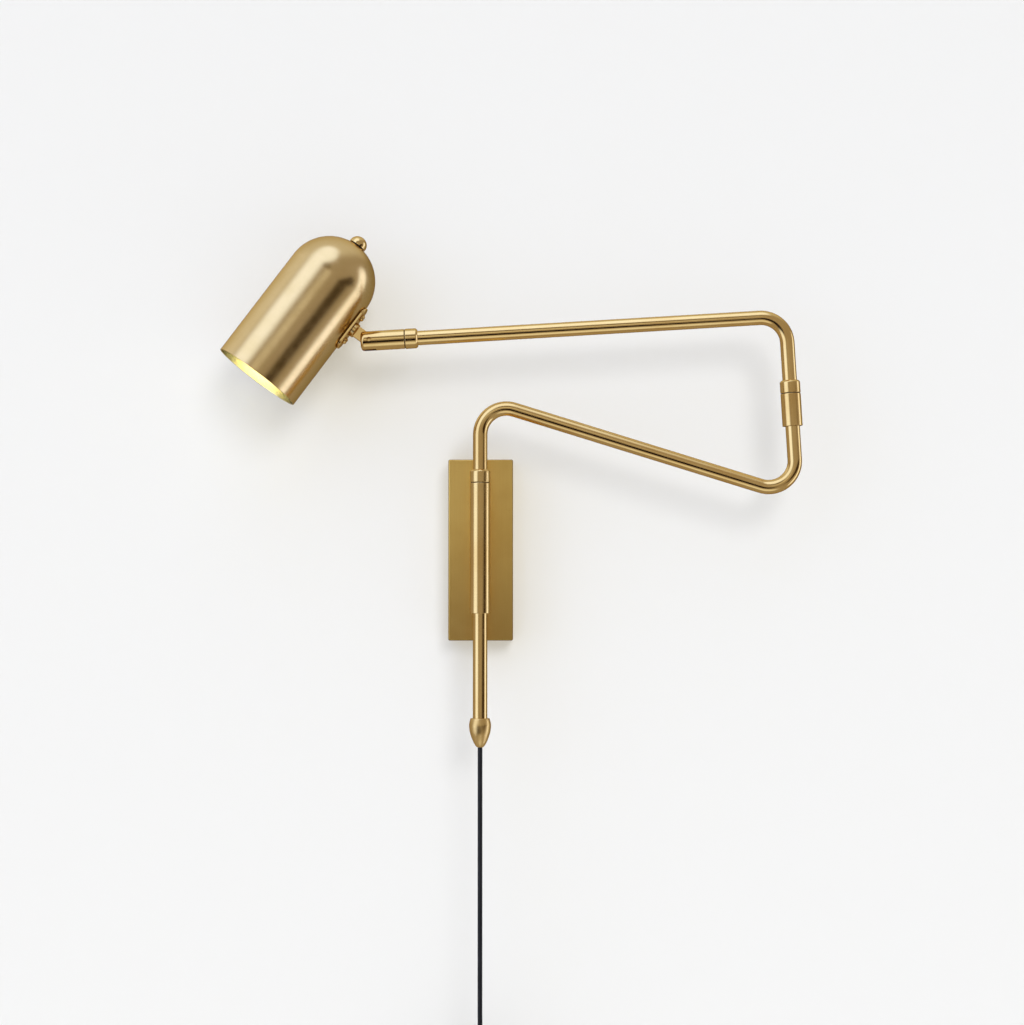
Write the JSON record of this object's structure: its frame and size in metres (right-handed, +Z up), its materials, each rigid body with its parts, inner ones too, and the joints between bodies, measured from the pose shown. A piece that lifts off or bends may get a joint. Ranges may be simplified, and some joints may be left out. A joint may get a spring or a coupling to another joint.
{
  "type": "swing arm wall sconce",
  "caption": "Plug-in brass wall lamp: a rectangular wall plate carries two folding tube arms, and a swivel head holds a domed cylinder shade with a turn knob.",
  "frame": {"origin": "centre of the wall plate's back, on the wall", "axes": "+Y into the wall, +X along the wall to the right of someone facing the lamp, +Z up"},
  "size_m": [0.5109, 0.0996, 0.8639],
  "materials": {
    "polished_brass": "polished brass with a fine drawn grain, lacquered",
    "satin_brass": "satin brass, softly brushed",
    "plate_brass": "satin brass, deeper golden brown",
    "plated_steel": "zinc plated steel",
    "black_nylon": "black nylon",
    "cord_jacket": "black cord jacket, slight sheen",
    "black_plastic": "black moulded plastic",
    "phenolic": "dark phenolic moulding",
    "bulb_glass": "frosted warm white bulb, lit"
  },
  "bodies": {
    "base": {"wall_plate": "plate_brass", "mounting_bar": "plated_steel", "cover_screw_top": "plated_steel", "cover_screw_bottom": "plated_steel", "pivot_post_upper": "polished_brass", "pivot_post_lower": "polished_brass", "post_screw_upper": "plated_steel", "post_screw_lower": "plated_steel", "pivot_sleeve": "polished_brass", "wall_bush_upper": "black_nylon", "wall_bush_lower": "black_nylon", "wall_washer": "black_nylon", "cord_drop": "cord_jacket", "cord_coil": "cord_jacket", "cord_tie": "black_plastic", "cord_tail": "cord_jacket", "plug_strain_relief": "black_plastic", "plug_body": "black_plastic", "plug_blade_left": "plated_steel", "plug_blade_right": "plated_steel"},
    "lower_arm": {"lower_arm_tube": "polished_brass", "lower_arm_wire": "cord_jacket", "wall_collar": "polished_brass", "wall_collar_screw": "plated_steel", "acorn_cap": "polished_brass", "cord_grip": "black_nylon", "elbow_sleeve": "polished_brass", "elbow_bush": "black_nylon"},
    "upper_arm": {"upper_arm_tube": "polished_brass", "upper_arm_wire": "cord_jacket", "elbow_collar": "polished_brass", "elbow_collar_screw": "plated_steel", "elbow_spigot": "plated_steel", "elbow_clip": "plated_steel", "elbow_washer": "black_nylon", "head_collar": "polished_brass", "head_collar_screw": "plated_steel", "head_spigot": "plated_steel", "head_clip": "plated_steel", "head_washer": "black_nylon"},
    "swivel": {"swivel_fork": "polished_brass", "head_bush": "black_nylon", "tilt_screw": "plated_steel", "tilt_washer_back": "black_nylon", "tilt_washer_front": "black_nylon"},
    "head": {"tilt_knuckle": "polished_brass", "bracket_plate": "polished_brass", "bracket_screw_upper": "polished_brass", "bracket_nut_upper": "plated_steel", "bracket_screw_lower": "polished_brass", "bracket_nut_lower": "plated_steel", "shade": "satin_brass", "lamp_socket": "phenolic", "socket_spacer": "plated_steel", "switch_nut": "polished_brass", "bulb_base": "plated_steel", "bulb_glass": "bulb_glass"},
    "switch": {"switch_shaft": "plated_steel", "switch_knob": "polished_brass"}
  },
  "joints": [
    {"name": "wall_swing", "type": "hinge", "parent": "base", "child": "lower_arm", "pos_m": [0, -0.057, 0], "axis": [0, 0, 1], "range_deg": [-180, 0]},
    {"name": "elbow_swing", "type": "hinge", "parent": "lower_arm", "child": "upper_arm", "pos_m": [0.27244, -0.057, 0.1367], "axis": [-0.0593, 0, 0.9982], "range_deg": [-170, 170]},
    {"name": "head_roll", "type": "hinge", "parent": "upper_arm", "child": "swivel", "pos_m": [-0.0974, -0.057, 0.183], "axis": [-0.9982, 0, -0.0593], "range_deg": [-165, 165]},
    {"name": "head_tilt", "type": "hinge", "parent": "swivel", "child": "head", "pos_m": [-0.0974, -0.057, 0.183], "axis": [-0.0064, -0.9942, 0.1078], "range_deg": [-38, 98]},
    {"name": "switch_turn", "type": "hinge", "parent": "head", "child": "switch", "pos_m": [-0.109, -0.04767, 0.26834], "axis": [0.5923, 0.0831, 0.8014], "continuous": true}
  ]
}
